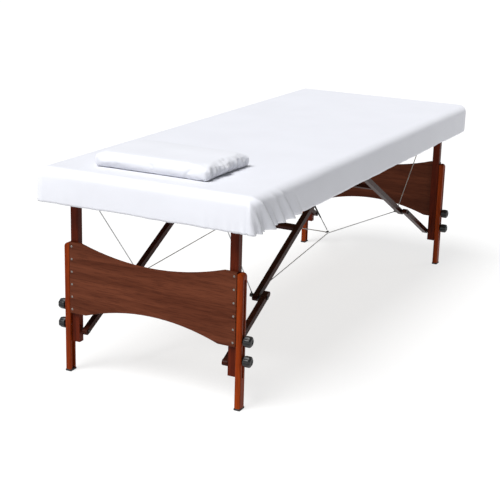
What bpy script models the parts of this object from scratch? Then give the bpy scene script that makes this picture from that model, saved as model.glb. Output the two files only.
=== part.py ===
"""Portable massage table: two hinged halves, folding legs with slotted height extensions, knee braces,
restraining cables, foam pads, a fitted sheet and a small pillow.

Metres, +Z up. X runs along the table, Y across it. The origin is on the floor under the centre hinge.
The head half is on -X, and the foot half mirrors it.
"""

import math

import bmesh
import bpy
from mathutils import Matrix, Vector

GAP = 0.0003

# Outside sizes, over the sheet.
HALF_LENGTH = 0.940
HALF_WIDTH = 0.368
TABLE_TOP = 0.664
HEM = 0.558
SHEET_THICKNESS = 0.003
CORNER_RADIUS = 0.032
TOP_EDGE_RADIUS = 0.022
CENTRE_GAP = 0.0005

# Wooden frame of each half.
FRAME_HALF_LENGTH = 0.9275
FRAME_HALF_WIDTH = 0.3555
RAIL_THICKNESS = 0.020
SIDE_RAIL_THICKNESS = 0.016
RAIL_BOTTOM = 0.5605
RAIL_TOP = 0.614
DECK_THICKNESS = 0.006

# Centre hinge.
HINGE_Z = 0.5575
KNUCKLE_RADIUS = 0.0022
KNUCKLE_CLEARANCE = 0.0006
LEAF_WIDTH = 0.019
LEAF_THICKNESS = 0.0016
HINGE_HALF_LENGTH = 0.300
KNUCKLES = 9

# Legs. The leg stands under its hinge rod, and the extension slides on its outer face.
LEG_HINGE = Vector((0.8673, 0.5786))
LEG_OUTER_X = 0.8777
LEG_INNER_X = 0.857
LEG_INNER_Y = 0.263
LEG_OUTER_Y = 0.291
LEG_BOTTOM = 0.101
ROD_RADIUS = 0.006
ROD_CLEARANCE = 0.0004

EXTENSION_OUTER_X = 0.887
EXTENSION_OUTER_Y = 0.311
EXTENSION_TOP = 0.422
EXTENSION_SHOULDER = 0.012
EXTENSION_EASE = 0.004
SLOT_HALF_WIDTH = 0.005
SLOT_LOW = 0.100
SLOT_HIGH = 0.404
GROOVE_HALF_WIDTH = 0.0075
GROOVE_DEPTH = 0.007
KNOB_HEIGHTS = (0.217, 0.155)
KNOB_X = 0.872
KNOB_RADIUS = 0.0165
KNOB_LOBES = 7
KNOB_LOBE_SHARE = 0.045
KNOB_OUTER_Y = 0.339
KNOB_SHAFT_RADIUS = 0.004
KNOB_SHAFT_INNER_Y = 0.271

# End panel between the legs.
PANEL_THICKNESS = 0.0083
PANEL_END_TOP = 0.4265
PANEL_END_BOTTOM = 0.197
PANEL_TOP_DIP = 0.0385
PANEL_BOTTOM_RISE = 0.0405
PANEL_TOP_SPAN = 0.249
PANEL_BOTTOM_SPAN = 0.233

# Knee braces. Each pair is an upper strut on the frame and a lower strut on the leg.
BRACE_HINGE = Vector((0.0399, 0.5812))
LEG_PIN = Vector((0.8600, 0.1373))
KNEE_LIFT = 0.0075
STRUT_HALF_DEPTH = 0.009
UPPER_STRUT_Y = (0.214, 0.232)
LOWER_STRUT_Y = (0.2405, 0.2585)
UPPER_STRUT_OVERRUN = 0.018
LOWER_STRUT_OVERRUN = 0.025
LOWER_STRUT_TAIL = 0.015
BOLT_RADIUS = 0.003
BOLT_CLEARANCE = 0.0004
BOLT_HEAD_RADIUS = 0.006
BOLT_INNER_Y = 0.200
BOLT_HEAD_LENGTH = 0.004
COLLAR_RADIUS = 0.0085
COLLAR_OUTER_Y = 0.2385
CROSS_BAR_PLACE = 0.338
CROSS_BAR_DEPTH = 0.016
CROSS_BAR_WIDTH = 0.018

# Steel cables, held at both ends.
CABLE_RADIUS = 0.0017
CABLE_END_GAP = 0.0012
CABLE_AT_BOLT = BOLT_RADIUS + CABLE_RADIUS + CABLE_END_GAP
CABLE_Y_AT_KNEE = 0.2085
LEG_CABLE_Y = 0.228
YOKE_Y = 0.185
YOKE_Z = 0.321
YOKE_TOP_Y = 0.040
CABLE_POINTS = 9
CABLE_SAG = 0.002

# Pillow.
PILLOW_X = (-0.850, -0.578)
PILLOW_Y = (-0.170, 0.232)
PILLOW_HEIGHT = 0.050

NEAR, FAR = -1, 1
LEFT, RIGHT = 1, -1
END_NAMES = {NEAR: "head", FAR: "foot"}
SIDE_NAMES = {LEFT: "left", RIGHT: "right"}

XZ_PLANE = Matrix.Rotation(math.radians(90), 4, "X")
YZ_PLANE = Matrix.Rotation(math.radians(90), 4, "Z") @ XZ_PLANE


def clear_scene():
    for obj in list(bpy.data.objects):
        bpy.data.objects.remove(obj)


def new_collection(name):
    collection = bpy.data.collections.new(name)
    bpy.context.scene.collection.children.link(collection)
    return collection


def new_material(name, colour, roughness, metallic=0.0):
    material = bpy.data.materials.new(name)
    material.use_nodes = True
    shader = material.node_tree.nodes["Principled BSDF"]
    shader.inputs["Base Color"].default_value = (*colour, 1.0)
    shader.inputs["Roughness"].default_value = roughness
    shader.inputs["Metallic"].default_value = metallic
    return material


clear_scene()
PARTS = new_collection("massage_table")
CUTTERS = new_collection("cutters")
WOOD = new_material("mahogany_lacquer", (0.11, 0.028, 0.014), 0.35)
PANEL_WOOD = new_material("mahogany_panel", (0.13, 0.032, 0.015), 0.38)
PLYWOOD = new_material("birch_ply", (0.50, 0.36, 0.22), 0.6)
VINYL = new_material("foam_and_vinyl", (0.72, 0.70, 0.66), 0.55)
LINEN = new_material("white_cotton", (0.85, 0.86, 0.93), 0.9)
STEEL = new_material("zinc_steel", (0.55, 0.55, 0.56), 0.35, 1.0)
BLACK_STEEL = new_material("black_steel", (0.03, 0.03, 0.03), 0.45, 0.8)
BRASS = new_material("brass_hinge", (0.60, 0.45, 0.20), 0.35, 1.0)
BLACK_PLASTIC = new_material("black_plastic", (0.02, 0.02, 0.02), 0.5)
CABLE_STEEL = new_material("coated_cable", (0.42, 0.43, 0.44), 0.4, 0.6)


def add_object(name, data, material, collection=None):
    obj = bpy.data.objects.new(name, data)
    (collection or PARTS).objects.link(obj)
    if material is not None:
        data.materials.clear()
        data.materials.append(material)
    return obj


def mesh_from(bm, name):
    bmesh.ops.recalc_face_normals(bm, faces=bm.faces)
    mesh = bpy.data.meshes.new(name)
    bm.to_mesh(mesh)
    bm.free()
    return mesh


def as_cutter(obj):
    obj.hide_render = True
    obj.display_type = "WIRE"
    for collection in list(obj.users_collection):
        collection.objects.unlink(obj)
    CUTTERS.objects.link(obj)
    return obj


def cut(obj, cutter):
    modifier = obj.modifiers.new("cut", "BOOLEAN")
    modifier.operation = "DIFFERENCE"
    modifier.object = as_cutter(cutter)


def join(obj, other):
    modifier = obj.modifiers.new("join", "BOOLEAN")
    modifier.operation = "UNION"
    modifier.object = as_cutter(other)


def soften(obj, width, segments=2):
    """Eases the edges that a hand would feel."""
    modifier = obj.modifiers.new("soften", "BEVEL")
    modifier.width = width
    modifier.segments = segments
    modifier.limit_method = "ANGLE"
    modifier.angle_limit = math.radians(40)


def box(name, low, high, material, ease=0.0):
    """A block between two corners, given in any order."""
    ends = [sorted(pair) for pair in zip(low, high)]
    centre = Vector([(a + b) / 2 for a, b in ends])
    bm = bmesh.new()
    bmesh.ops.create_cube(bm, size=1.0)
    bmesh.ops.scale(bm, vec=[b - a for a, b in ends], verts=bm.verts)
    obj = add_object(name, mesh_from(bm, name), material)
    obj.location = centre
    if ease:
        soften(obj, ease)
    return obj


def cylinder_y(name, x, z, y_low, y_high, radius, material, sides=16):
    """A round bar along Y."""
    bm = bmesh.new()
    turn = Matrix.Rotation(math.radians(90), 4, "X")
    bmesh.ops.create_cone(bm, cap_ends=True, segments=sides, radius1=radius, radius2=radius,
                          depth=abs(y_high - y_low), matrix=turn)
    obj = add_object(name, mesh_from(bm, name), material)
    obj.location = (x, (y_low + y_high) / 2, z)
    obj.data.shade_smooth()
    obj.data.set_sharp_from_angle(angle=math.radians(40))
    return obj


def arc(centre, radius, start_deg, end_deg, steps):
    """Points along an arc in a flat outline, both ends included."""
    angles = [math.radians(start_deg + (end_deg - start_deg) * i / steps) for i in range(steps + 1)]
    return [(centre[0] + radius * math.cos(a), centre[1] + radius * math.sin(a)) for a in angles]


def circle(centre, radius, sides=12):
    return arc(centre, radius, 0, 360 * (sides - 1) / sides, sides - 1)


def flat_piece(name, outlines, thickness, plane, offset, material, ease=0.0):
    """A plate cut to an outline, with holes where further outlines lie inside the first.

    plane turns the outline upright, and offset is the middle of the plate's thickness.
    """
    curve = bpy.data.curves.new(name, "CURVE")
    curve.dimensions = "2D"
    curve.fill_mode = "BOTH"
    curve.extrude = thickness / 2
    for outline in outlines:
        spline = curve.splines.new("POLY")
        spline.points.add(len(outline) - 1)
        for point, (u, v) in zip(spline.points, outline):
            point.co = (u, v, 0, 1)
        spline.use_cyclic_u = True
    drawn = bpy.data.objects.new(name + "_outline", curve)
    CUTTERS.objects.link(drawn)
    bpy.context.view_layer.update()
    mesh = bpy.data.meshes.new_from_object(drawn.evaluated_get(bpy.context.evaluated_depsgraph_get()))
    bpy.data.objects.remove(drawn)
    bm = bmesh.new()
    bm.from_mesh(mesh)
    bmesh.ops.remove_doubles(bm, verts=bm.verts, dist=1e-6)
    bmesh.ops.dissolve_limit(bm, angle_limit=math.radians(1), verts=bm.verts, edges=bm.edges)
    bmesh.ops.recalc_face_normals(bm, faces=bm.faces)
    bm.to_mesh(mesh)
    bm.free()
    mesh.name = name
    obj = add_object(name, mesh, material)
    obj.matrix_world = Matrix.Translation(offset) @ plane
    obj.data.shade_smooth()
    obj.data.set_sharp_from_angle(angle=math.radians(30))
    if ease:
        soften(obj, ease)
    return obj


def mirrored(points, end):
    """Outline points given for +X, turned over for the other end."""
    return [(end * u, v) for u, v in points]


def side_rail(end, side):
    inner = FRAME_HALF_WIDTH - SIDE_RAIL_THICKNESS
    box(f"side_rail_{END_NAMES[end]}_{SIDE_NAMES[side]}", (end * CENTRE_GAP, side * inner, RAIL_BOTTOM),
        (end * FRAME_HALF_LENGTH, side * FRAME_HALF_WIDTH, RAIL_TOP), WOOD, ease=0.0015)


def cross_rails(end):
    """The outer end rail, and the rail beside the centre hinge."""
    reach = FRAME_HALF_WIDTH - SIDE_RAIL_THICKNESS - GAP
    name = END_NAMES[end]
    box(f"end_rail_{name}", (end * (FRAME_HALF_LENGTH - RAIL_THICKNESS), -reach, RAIL_BOTTOM),
        (end * FRAME_HALF_LENGTH, reach, RAIL_TOP), WOOD)
    box(f"centre_rail_{name}", (end * CENTRE_GAP, -reach, RAIL_BOTTOM),
        (end * (CENTRE_GAP + RAIL_THICKNESS), reach, RAIL_TOP), WOOD)


def deck(end):
    low = RAIL_TOP + GAP
    box(f"deck_{END_NAMES[end]}", (end * CENTRE_GAP, -FRAME_HALF_WIDTH, low),
        (end * FRAME_HALF_LENGTH, FRAME_HALF_WIDTH, low + DECK_THICKNESS), PLYWOOD)


def soft_block(end, inset, low, open_shell):
    """Half of the table's soft top: two rounded upright corners and rounded top edges.

    An open shell has no underside and no face at the centre hinge.
    """
    reach, side, top = HALF_LENGTH - inset, HALF_WIDTH - inset, TABLE_TOP - inset
    bm = bmesh.new()
    bmesh.ops.create_cube(bm, size=1.0)
    start = CENTRE_GAP
    bmesh.ops.scale(bm, vec=(reach - start, 2 * side, top - low), verts=bm.verts)
    bmesh.ops.translate(bm, vec=(end * (start + reach) / 2, 0, (low + top) / 2), verts=bm.verts)
    upright = [e for e in bm.edges if all(end * v.co.x > start + 0.01 for v in e.verts)
               and abs(e.verts[0].co.z - e.verts[1].co.z) > 0.01]
    bmesh.ops.bevel(bm, geom=upright, offset=CORNER_RADIUS - inset, segments=4, profile=0.5, affect="EDGES")
    if open_shell:
        removed = [f for f in bm.faces if f.normal.z < -0.9 or end * f.normal.x < -0.9]
        bmesh.ops.delete(bm, geom=removed, context="FACES")
    rim = [e for e in bm.edges if all(v.co.z > top - 1e-5 for v in e.verts)
           and not all(end * v.co.x < start + 1e-5 for v in e.verts)]
    bmesh.ops.bevel(bm, geom=rim, offset=TOP_EDGE_RADIUS - inset, segments=3, profile=0.5, affect="EDGES")
    return bm


def pad(end):
    low = RAIL_TOP + DECK_THICKNESS + 2 * GAP
    name = f"pad_{END_NAMES[end]}"
    obj = add_object(name, mesh_from(soft_block(end, SHEET_THICKNESS + 0.0005, low, False), name), VINYL)
    obj.data.shade_smooth()


def sheet(end):
    """Half of the fitted sheet, which hangs past the frame's sides to its hem."""
    name = f"sheet_{END_NAMES[end]}"
    bm = soft_block(end, 0.0, HEM, True)
    bmesh.ops.recalc_face_normals(bm, faces=bm.faces)
    highest = max(bm.faces, key=lambda f: f.calc_center_median().z)
    if highest.normal.z < 0:
        bmesh.ops.reverse_faces(bm, faces=bm.faces)
    mesh = bpy.data.meshes.new(name)
    bm.to_mesh(mesh)
    bm.free()
    obj = add_object(name, mesh, LINEN)
    obj.data.shade_smooth()
    wall = obj.modifiers.new("wall", "SOLIDIFY")
    wall.thickness = SHEET_THICKNESS
    wall.offset = -1
    wall.use_even_offset = True


def hinge_leaf(end):
    """One leaf of the centre hinge, with every second knuckle."""
    plate_top = RAIL_BOTTOM - GAP
    plate = box(f"hinge_leaf_{END_NAMES[end]}",
                (end * (KNUCKLE_RADIUS + KNUCKLE_CLEARANCE), -HINGE_HALF_LENGTH,
                 plate_top - LEAF_THICKNESS),
                (end * LEAF_WIDTH, HINGE_HALF_LENGTH, plate_top), BRASS)
    pitch = 2 * HINGE_HALF_LENGTH / KNUCKLES
    first = 0 if end == NEAR else 1
    for index in range(first, KNUCKLES, 2):
        low = -HINGE_HALF_LENGTH + index * pitch + KNUCKLE_CLEARANCE / 2
        high = low + pitch - KNUCKLE_CLEARANCE
        knuckle = cylinder_y(f"knuckle_{END_NAMES[end]}_{index}", 0, HINGE_Z, low, high,
                             KNUCKLE_RADIUS, None, 12)
        arm = box(f"knuckle_arm_{END_NAMES[end]}_{index}",
                  (0, low + 0.0002, HINGE_Z + 0.0004),
                  (end * 0.006, high - 0.0002, plate_top - 0.0003), None)
        join(plate, knuckle)
        join(plate, arm)


def pivot_rod(name, x, z):
    reach = FRAME_HALF_WIDTH - SIDE_RAIL_THICKNESS - GAP
    cylinder_y(name, x, z, -reach, reach, ROD_RADIUS, STEEL)


def upper_leg(end, side):
    """The leg that turns on the hinge rod. Its top is rounded about the rod."""
    half = (LEG_OUTER_X - LEG_INNER_X) / 2
    middle = (LEG_OUTER_X + LEG_INNER_X) / 2
    outline = arc((middle, LEG_HINGE.y), half, 0, 180, 8)
    outline += [(LEG_INNER_X, LEG_BOTTOM), (LEG_OUTER_X, LEG_BOTTOM)]
    holes = [circle(LEG_HINGE, ROD_RADIUS + ROD_CLEARANCE, 16)]
    holes += [circle((KNOB_X, z), KNOB_SHAFT_RADIUS + BOLT_CLEARANCE) for z in KNOB_HEIGHTS]
    middle_y = side * (LEG_INNER_Y + LEG_OUTER_Y) / 2
    flat_piece(f"leg_{END_NAMES[end]}_{SIDE_NAMES[side]}", [mirrored(o, end) for o in [outline, *holes]],
               LEG_OUTER_Y - LEG_INNER_Y, XZ_PLANE, (0, middle_y, 0), WOOD, ease=0.0013)


def end_panel(end):
    """The shaped board screwed across both legs, with a dished top edge and an arched lower edge."""
    reach = LEG_OUTER_Y - GAP
    steps = 16

    def edge(span, at_end, change):
        ys = [-span + 2 * span * i / steps for i in range(steps + 1)]
        return [(y, at_end + change * (1 - (y / span) ** 2)) for y in ys]

    lower = edge(PANEL_BOTTOM_SPAN, PANEL_END_BOTTOM, PANEL_BOTTOM_RISE)
    upper = edge(PANEL_TOP_SPAN, PANEL_END_TOP, -PANEL_TOP_DIP)
    outline = [(-reach, PANEL_END_BOTTOM), *lower, (reach, PANEL_END_BOTTOM)]
    outline += [(reach, PANEL_END_TOP), *reversed(upper), (-reach, PANEL_END_TOP)]
    middle = end * (EXTENSION_OUTER_X - PANEL_THICKNESS / 2)
    flat_piece(f"end_panel_{END_NAMES[end]}", [outline], PANEL_THICKNESS, YZ_PLANE, (middle, 0, 0),
               PANEL_WOOD, ease=0.0015)


def extension(end, side):
    """The slotted lower leg. A groove down its inner face guides it, and runs out at the foot."""
    inner = LEG_OUTER_Y + GAP
    outline = [(side * inner, 0), (side * EXTENSION_OUTER_Y, 0)]
    shoulder = arc((EXTENSION_OUTER_Y - EXTENSION_SHOULDER, EXTENSION_TOP - EXTENSION_SHOULDER),
                   EXTENSION_SHOULDER, 0, 90, 5)
    outline += [(side * y, z) for y, z in shoulder]
    outline += [(side * inner, EXTENSION_TOP)]
    depth = EXTENSION_OUTER_X - LEG_INNER_X
    middle = end * (EXTENSION_OUTER_X - depth / 2)
    name = f"extension_{END_NAMES[end]}_{SIDE_NAMES[side]}"
    obj = flat_piece(name, [outline], depth, YZ_PLANE, (middle, 0, 0), WOOD, ease=EXTENSION_EASE)
    slot = arc((0, SLOT_HIGH - SLOT_HALF_WIDTH), SLOT_HALF_WIDTH, 0, 180, 6)
    slot += arc((0, SLOT_LOW + SLOT_HALF_WIDTH), SLOT_HALF_WIDTH, 180, 360, 6)
    cut(obj, flat_piece(name + "_slot", [slot], 0.05, XZ_PLANE,
                        (end * KNOB_X, side * (LEG_OUTER_Y + EXTENSION_OUTER_Y) / 2, 0), None))
    cut(obj, box(name + "_groove", (end * KNOB_X - GROOVE_HALF_WIDTH, side * (inner - 0.01), -0.01),
                 (end * KNOB_X + GROOVE_HALF_WIDTH, side * (inner + GROOVE_DEPTH), SLOT_HIGH), None))


def knob_mesh():
    """A lobed clamping knob with its bolt, turned about Z, which runs out from the table's middle."""
    base = EXTENSION_OUTER_Y + GAP
    profile = [(0, KNOB_SHAFT_INNER_Y), (KNOB_SHAFT_RADIUS, KNOB_SHAFT_INNER_Y), (KNOB_SHAFT_RADIUS, base),
               (0.009, base), (0.0095, base + 0.003), (0.0155, base + 0.0035), (KNOB_RADIUS, base + 0.006),
               (KNOB_RADIUS, KNOB_OUTER_Y - 0.005), (0.014, KNOB_OUTER_Y - 0.0015), (0.009, KNOB_OUTER_Y),
               (0, KNOB_OUTER_Y)]
    steps = 4 * KNOB_LOBES
    bm = bmesh.new()
    verts = [bm.verts.new((r, 0, z)) for r, z in profile]
    edges = [bm.edges.new(pair) for pair in zip(verts, verts[1:])]
    bmesh.ops.spin(bm, geom=verts + edges, cent=(0, 0, 0), axis=(0, 0, 1), dvec=(0, 0, 0),
                   angle=math.radians(360), steps=steps, use_merge=True, use_duplicate=False)
    bmesh.ops.remove_doubles(bm, verts=bm.verts, dist=1e-6)
    for vert in bm.verts:
        radius = vert.co.xy.length
        if radius > 0.010:
            swell = 1 + KNOB_LOBE_SHARE * math.cos(KNOB_LOBES * math.atan2(vert.co.y, vert.co.x))
            vert.co.x *= swell
            vert.co.y *= swell
    mesh = mesh_from(bm, "knob")
    mesh.shade_smooth()
    mesh.set_sharp_from_angle(angle=math.radians(35))
    return mesh


def knobs(end, side, mesh):
    """Two clamping knobs a leg. Each turns about its own bolt, along Y."""
    for place, z in zip(("upper", "lower"), KNOB_HEIGHTS):
        name = f"knob_{END_NAMES[end]}_{SIDE_NAMES[side]}_{place}"
        obj = add_object(name, mesh, BLACK_PLASTIC)
        obj.location = (end * KNOB_X, 0, z)
        obj.rotation_euler = (math.radians(-90 * side), 0, 0)


def brace_lengths():
    """Upper and lower strut lengths between pivots.

    Open, the two struts lie in one line from the frame to the leg. Folded, the leg lies along the
    frame, and the knee stands KNEE_LIFT above the line between the outer pivots. The knee then lies
    on an ellipse about those pivots.
    """
    reach = (BRACE_HINGE - LEG_PIN).length / 2
    drop = LEG_HINGE.y - LEG_PIN.y
    folded_pin = Vector((LEG_HINGE.x - drop, LEG_HINGE.y + (LEG_HINGE.x - LEG_PIN.x)))
    half_base = (folded_pin - BRACE_HINGE).length / 2
    short_axis = math.sqrt(reach**2 - half_base**2)
    shift = half_base * math.sqrt(1 - (KNEE_LIFT / short_axis) ** 2)
    return reach + shift, reach - shift


UPPER_LENGTH, LOWER_LENGTH = brace_lengths()
BRACE_LINE = (LEG_PIN - BRACE_HINGE).normalized()
KNEE = BRACE_HINGE + BRACE_LINE * UPPER_LENGTH


def strut_outline(start, finish, before, after, square_end=False):
    """A bar that runs past its two pivots. Its ends are half round, or square with eased corners."""
    along = (finish - start).normalized()
    angle = math.degrees(math.atan2(along.y, along.x))
    half = STRUT_HALF_DEPTH
    low = start - along * (before - half)
    high = finish + along * (after - half)
    points = arc(low, half, angle + 90, angle + 270, 6)
    if not square_end:
        return points + arc(high, half, angle - 90, angle + 90, 6)
    corner = 0.003
    across = Vector((-along.y, along.x))
    inner = finish + along * (after - corner)
    points += arc(inner - across * (half - corner), corner, angle - 90, angle, 3)
    return points + arc(inner + across * (half - corner), corner, angle, angle + 90, 3)


def strut(name, outline, holes, span, end, side):
    middle = side * (span[0] + span[1]) / 2
    flat_piece(name, [mirrored(o, end) for o in [outline, *holes]], span[1] - span[0], XZ_PLANE,
               (0, middle, 0), WOOD, ease=0.0015)


def braces(end, side):
    tag = f"{END_NAMES[end]}_{SIDE_NAMES[side]}"
    outline = strut_outline(BRACE_HINGE, KNEE, STRUT_HALF_DEPTH, UPPER_STRUT_OVERRUN)
    holes = [circle(BRACE_HINGE, ROD_RADIUS + ROD_CLEARANCE), circle(KNEE, BOLT_RADIUS + BOLT_CLEARANCE)]
    strut(f"upper_brace_{tag}", outline, holes, UPPER_STRUT_Y, end, side)
    outline = strut_outline(LEG_PIN, KNEE, LOWER_STRUT_TAIL, LOWER_STRUT_OVERRUN)
    holes = [circle(KNEE, BOLT_RADIUS + BOLT_CLEARANCE), circle(LEG_PIN, BOLT_RADIUS + BOLT_CLEARANCE)]
    strut(f"lower_brace_{tag}", outline, holes, LOWER_STRUT_Y, end, side)


def knee_bolt(end, side):
    """A shouldered bolt: head, shank through the upper strut, and the collar beside the lower strut."""
    steps = 14
    profile = [(0, BOLT_INNER_Y), (BOLT_HEAD_RADIUS, BOLT_INNER_Y),
               (BOLT_HEAD_RADIUS, BOLT_INNER_Y + BOLT_HEAD_LENGTH),
               (BOLT_RADIUS, BOLT_INNER_Y + BOLT_HEAD_LENGTH),
               (BOLT_RADIUS, UPPER_STRUT_Y[1] + GAP), (COLLAR_RADIUS, UPPER_STRUT_Y[1] + GAP),
               (COLLAR_RADIUS, COLLAR_OUTER_Y), (0, COLLAR_OUTER_Y)]
    bm = bmesh.new()
    verts = [bm.verts.new((r, 0, z)) for r, z in profile]
    edges = [bm.edges.new(pair) for pair in zip(verts, verts[1:])]
    bmesh.ops.spin(bm, geom=verts + edges, cent=(0, 0, 0), axis=(0, 0, 1), dvec=(0, 0, 0),
                   angle=math.radians(360), steps=steps, use_merge=True, use_duplicate=False)
    bmesh.ops.remove_doubles(bm, verts=bm.verts, dist=1e-6)
    name = f"knee_bolt_{END_NAMES[end]}_{SIDE_NAMES[side]}"
    obj = add_object(name, mesh_from(bm, name), BLACK_STEEL)
    obj.data.shade_smooth()
    obj.data.set_sharp_from_angle(angle=math.radians(35))
    obj.location = (end * KNEE.x, 0, KNEE.y)
    obj.rotation_euler = (math.radians(-90 * side), 0, 0)


def cross_bar(end):
    """The bar that ties the two upper struts together."""
    centre = BRACE_HINGE + BRACE_LINE * CROSS_BAR_PLACE
    reach = UPPER_STRUT_Y[0] - GAP
    obj = box(f"cross_bar_{END_NAMES[end]}", (-CROSS_BAR_WIDTH / 2, -reach, -CROSS_BAR_DEPTH / 2),
              (CROSS_BAR_WIDTH / 2, reach, CROSS_BAR_DEPTH / 2), WOOD, ease=0.0015)
    slope = math.atan2(-BRACE_LINE.y, BRACE_LINE.x)
    obj.location = (end * centre.x, 0, centre.y)
    obj.rotation_euler = (0, end * slope, 0)


def cable(name, route, sag=CABLE_SAG):
    """A thin tube through the route's points, each run hanging a little under its straight line."""
    points = []
    for start, finish in zip(route, route[1:]):
        for i in range(CABLE_POINTS):
            share = i / CABLE_POINTS
            dip = 4 * share * (1 - share) * sag
            points.append(start.lerp(finish, share) - Vector((0, 0, dip)))
    points.append(route[-1])
    curve = bpy.data.curves.new(name, "CURVE")
    curve.dimensions = "3D"
    curve.bevel_depth = CABLE_RADIUS
    curve.bevel_resolution = 2
    curve.use_fill_caps = True
    spline = curve.splines.new("POLY")
    spline.points.add(len(points) - 1)
    for point, place in zip(spline.points, points):
        point.co = (*place, 1)
    add_object(name, curve, CABLE_STEEL)


def towards(start, finish, distance):
    """The point this far from start on the way to finish."""
    return start + (finish - start).normalized() * distance


def cable_end(end, side):
    """Where a cable loops round the knee bolt."""
    return Vector((end * KNEE.x, side * CABLE_Y_AT_KNEE, KNEE.y))


def leg_cable(end, side):
    """From the leg's hinge rod down to the knee bolt."""
    knee = cable_end(end, side)
    rod = Vector((end * LEG_HINGE.x, side * LEG_CABLE_Y, LEG_HINGE.y))
    route = [towards(rod, knee, ROD_RADIUS + CABLE_END_GAP), towards(knee, rod, CABLE_AT_BOLT)]
    cable(f"leg_cable_{END_NAMES[end]}_{SIDE_NAMES[side]}", route, 0.0)


def side_cable(side):
    """From knee to knee, hooked under the yoke cable's corner in the middle."""
    yoke = Vector((0, side * YOKE_Y, YOKE_Z - 2 * CABLE_RADIUS - 2 * GAP))
    near, far = cable_end(NEAR, side), cable_end(FAR, side)
    route = [towards(near, yoke, CABLE_AT_BOLT), yoke, towards(far, yoke, CABLE_AT_BOLT)]
    cable(f"side_cable_{SIDE_NAMES[side]}", route, CABLE_SAG)


def yoke_cable():
    """Hangs from the head half's centre rail, out to the side cables, and straight across between them."""
    top_z = RAIL_BOTTOM - LEAF_THICKNESS - 2 * GAP - CABLE_RADIUS
    turn = 0.006
    x = -CENTRE_GAP - RAIL_THICKNESS / 2
    points = [Vector((x, LEFT * YOKE_TOP_Y, top_z)), Vector((0, LEFT * YOKE_Y, YOKE_Z + 0.003)),
              Vector((0, LEFT * (YOKE_Y - turn), YOKE_Z)), Vector((0, RIGHT * (YOKE_Y - turn), YOKE_Z)),
              Vector((0, RIGHT * YOKE_Y, YOKE_Z + 0.003)), Vector((x, RIGHT * YOKE_TOP_Y, top_z))]
    cable("yoke_cable", points, 0.0)


def pillow():
    low = TABLE_TOP + GAP
    high = low + PILLOW_HEIGHT
    box("pillow", (PILLOW_X[0], PILLOW_Y[0], low), (PILLOW_X[1], PILLOW_Y[1], high), LINEN, ease=0.016)


def build():
    knob = knob_mesh()
    for end in (NEAR, FAR):
        name = END_NAMES[end]
        cross_rails(end)
        deck(end)
        pad(end)
        sheet(end)
        hinge_leaf(end)
        pivot_rod(f"leg_rod_{name}", end * LEG_HINGE.x, LEG_HINGE.y)
        pivot_rod(f"brace_rod_{name}", end * BRACE_HINGE.x, BRACE_HINGE.y)
        end_panel(end)
        cross_bar(end)
        for side in (LEFT, RIGHT):
            side_rail(end, side)
            upper_leg(end, side)
            extension(end, side)
            knobs(end, side, knob)
            braces(end, side)
            knee_bolt(end, side)
            leg_cable(end, side)
    side_cable(LEFT)
    side_cable(RIGHT)
    yoke_cable()
    pillow()


build()
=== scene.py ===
"""Looks of the portable massage table: fitted sheet, pillow, wood, cables, knobs and small hardware.

Metres, +Z up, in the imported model's frame. X runs along the table, and the head end with the pillow is -X.
"""

import math

import bmesh
import bpy
from mathutils import Matrix, Vector, noise


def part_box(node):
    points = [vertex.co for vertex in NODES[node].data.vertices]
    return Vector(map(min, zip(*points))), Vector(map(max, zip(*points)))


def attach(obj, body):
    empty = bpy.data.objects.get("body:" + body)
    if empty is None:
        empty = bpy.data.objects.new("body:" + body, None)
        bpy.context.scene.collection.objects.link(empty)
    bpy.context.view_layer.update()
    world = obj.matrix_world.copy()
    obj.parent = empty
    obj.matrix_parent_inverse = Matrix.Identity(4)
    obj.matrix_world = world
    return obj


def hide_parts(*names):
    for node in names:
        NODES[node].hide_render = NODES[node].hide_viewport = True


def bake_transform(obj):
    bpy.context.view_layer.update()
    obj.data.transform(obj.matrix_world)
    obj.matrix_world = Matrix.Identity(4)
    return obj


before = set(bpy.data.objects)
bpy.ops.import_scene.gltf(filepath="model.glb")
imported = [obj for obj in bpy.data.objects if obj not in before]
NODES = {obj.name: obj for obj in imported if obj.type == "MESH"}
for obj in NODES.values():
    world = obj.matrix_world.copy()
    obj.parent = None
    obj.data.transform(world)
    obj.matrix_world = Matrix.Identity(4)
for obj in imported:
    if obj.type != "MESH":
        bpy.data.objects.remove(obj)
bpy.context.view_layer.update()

ENDS = {"head": -1, "foot": 1}
SIDES = {"left": 1, "right": -1}

# The camera: where it stands, which way it looks, and how far it leans.
CAMERA_PLACE = Vector((-3.8651, -1.8504, 1.4828))
CAMERA_AZIMUTH = math.radians(-62.968)
CAMERA_ELEVATION = math.radians(16.387)
CAMERA_ROLL = math.radians(1.6215)
CAMERA_LENS = 88.86

# Fitted sheet.
SHEET_EDGE_RADIUS = 0.027
SHEET_CORNER_RADIUS = 0.030
SHEET_SPACING = 0.006
SHEET_WALL = 0.0008
SHEET_TUCK = 0.004
SHEET_CLEARANCE = 0.0002
SHEET_EDGE_ROWS = 9
SHEET_TOP_ROWS = 26
LOOSE_CORNER = 0.012

# Knob heads.
KNOB_LOBES = 7
KNOB_STEPS = KNOB_LOBES * 12
KNOB_BASE = 0.3115
KNOB_FACE = 0.339

# Pillow: the remesh size, the simulated frames, the cap on a point's move, how far its underside
# sinks flat, and the share of its height that is left once it has settled.
PILLOW_VOXEL = 0.005
PILLOW_FRAMES = 16
PILLOW_MOST_MOVE = 0.006
PILLOW_SINK = 0.004
PILLOW_SETTLE = 0.95

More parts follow.
